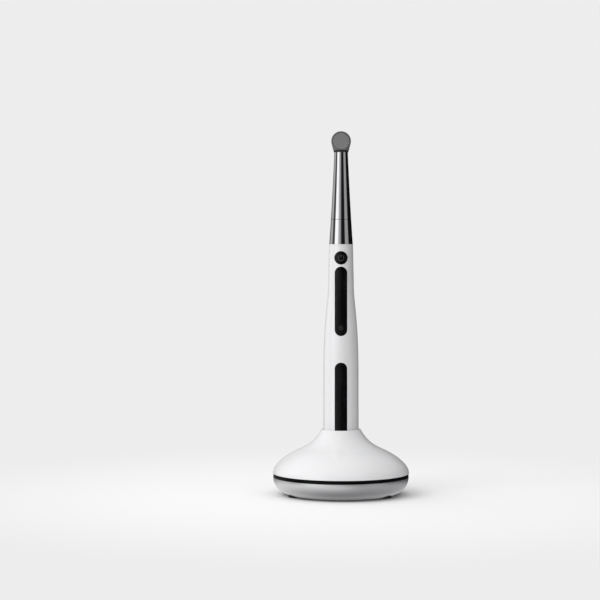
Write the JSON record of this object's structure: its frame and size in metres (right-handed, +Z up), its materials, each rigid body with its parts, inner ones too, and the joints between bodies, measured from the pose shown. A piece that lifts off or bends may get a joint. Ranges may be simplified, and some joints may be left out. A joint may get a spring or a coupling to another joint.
{
  "type": "dental curing light",
  "caption": "Pen-style dental curing light with a round angled head, tapered metal neck and white handle, upright in a flared round charging base.",
  "frame": {"origin": "centre of the charging base on the surface it stands on", "axes": "+Z up along the pen, -Y is the side with the keys, +Y is the side with the lens and the power inlet"},
  "size_m": [0.084, 0.084, 0.2233],
  "materials": {
    "white_shell": "glossy moulded plastic",
    "white_handle": "glossy moulded plastic",
    "black_trim": "glossy black plastic",
    "black_gloss": "high-gloss black plastic",
    "silver_bowl": "satin silver paint",
    "foot_rubber": "matt black rubber",
    "seal_rubber": "matt black rubber",
    "ballast_steel": "plain steel",
    "circuit_board": "green solder mask",
    "screw_steel": "zinc-plated steel",
    "spring_steel": "spring steel",
    "inlet_metal": "plated sheet steel",
    "inner_plastic": "dark moulded plastic",
    "gold_contact": "gold-plated brass",
    "display": "dark display glass",
    "cell_wrap": "shrink-wrapped cell",
    "polished_metal": "polished metal",
    "head_metal": "dark satin metal",
    "head_cap_metal": "grey satin metal",
    "copper_slug": "copper",
    "emitter": "emitter on white board",
    "reflector_metal": "bright plated cup",
    "lens_glass": "clear glass",
    "lead_jacket": "insulated lead"
  },
  "bodies": {
    "base": {"base_top_shell": "white_shell", "trim_ring": "black_trim", "base_bowl": "silver_bowl", "feet": "foot_rubber", "ballast_plate": "ballast_steel", "base_board": "circuit_board", "base_screws": "screw_steel", "base_board_screws": "screw_steel", "power_inlet": "inlet_metal", "inlet_tongue": "inner_plastic", "pin_holder": "inner_plastic", "pin_spring_left": "spring_steel", "pin_spring_right": "spring_steel"},
    "pin_left": {"charge_pin_left": "gold_contact"},
    "pin_right": {"charge_pin_right": "gold_contact"},
    "pen": {"handle_sleeve": "white_handle", "display_window": "black_gloss", "badge_strip": "black_gloss", "power_switch": "inner_plastic", "mode_switch": "inner_plastic", "display_module": "display", "buzzer": "inner_plastic", "main_board": "circuit_board", "chassis": "inner_plastic", "battery_cell": "cell_wrap", "battery_spring": "spring_steel", "battery_top_contact": "gold_contact", "end_cap": "white_handle", "end_cap_seal": "seal_rubber", "pen_contacts": "gold_contact", "neck_collar": "polished_metal", "swivel_bush": "inner_plastic", "contact_socket": "gold_contact"},
    "power_key": {"power_button": "black_gloss", "power_switch_plunger": "inner_plastic"},
    "mode_key": {"mode_button": "black_gloss", "mode_switch_plunger": "inner_plastic"},
    "head": {"neck_tube": "polished_metal", "friction_ring": "seal_rubber", "retaining_clip": "spring_steel", "neck_plug": "gold_contact", "led_lead": "lead_jacket", "head_housing": "head_metal", "head_seal": "seal_rubber", "head_back_cap": "head_cap_metal", "heat_slug": "copper_slug", "led_board": "emitter", "reflector": "reflector_metal", "lens": "lens_glass", "lens_seal": "seal_rubber", "lens_ring": "head_metal"}
  },
  "joints": [
    {"name": "pen_lift", "type": "slide", "parent": "base", "child": "pen", "axis": [0, 0, 1], "range_m": [0, 0.06]},
    {"name": "head_swivel", "type": "hinge", "parent": "pen", "child": "head", "pos_m": [0, 0, 0.1695], "axis": [0, 0, 1], "continuous": true},
    {"name": "power_press", "type": "slide", "parent": "pen", "child": "power_key", "axis": [0, 1, 0], "range_m": [0, 0.0004], "stiffness_N_per_m": 2500, "springref_m": -0.0003},
    {"name": "mode_press", "type": "slide", "parent": "pen", "child": "mode_key", "axis": [0, 1, 0], "range_m": [0, 0.0004], "stiffness_N_per_m": 2500, "springref_m": -0.0003},
    {"name": "left_pin_press", "type": "slide", "parent": "base", "child": "pin_left", "axis": [0, 0, -1], "range_m": [0, 0.001], "stiffness_N_per_m": 300, "springref_m": -0.001, "deforming": ["pin_spring_left"]},
    {"name": "right_pin_press", "type": "slide", "parent": "base", "child": "pin_right", "axis": [0, 0, -1], "range_m": [0, 0.001], "stiffness_N_per_m": 300, "springref_m": -0.001, "deforming": ["pin_spring_right"]}
  ]
}
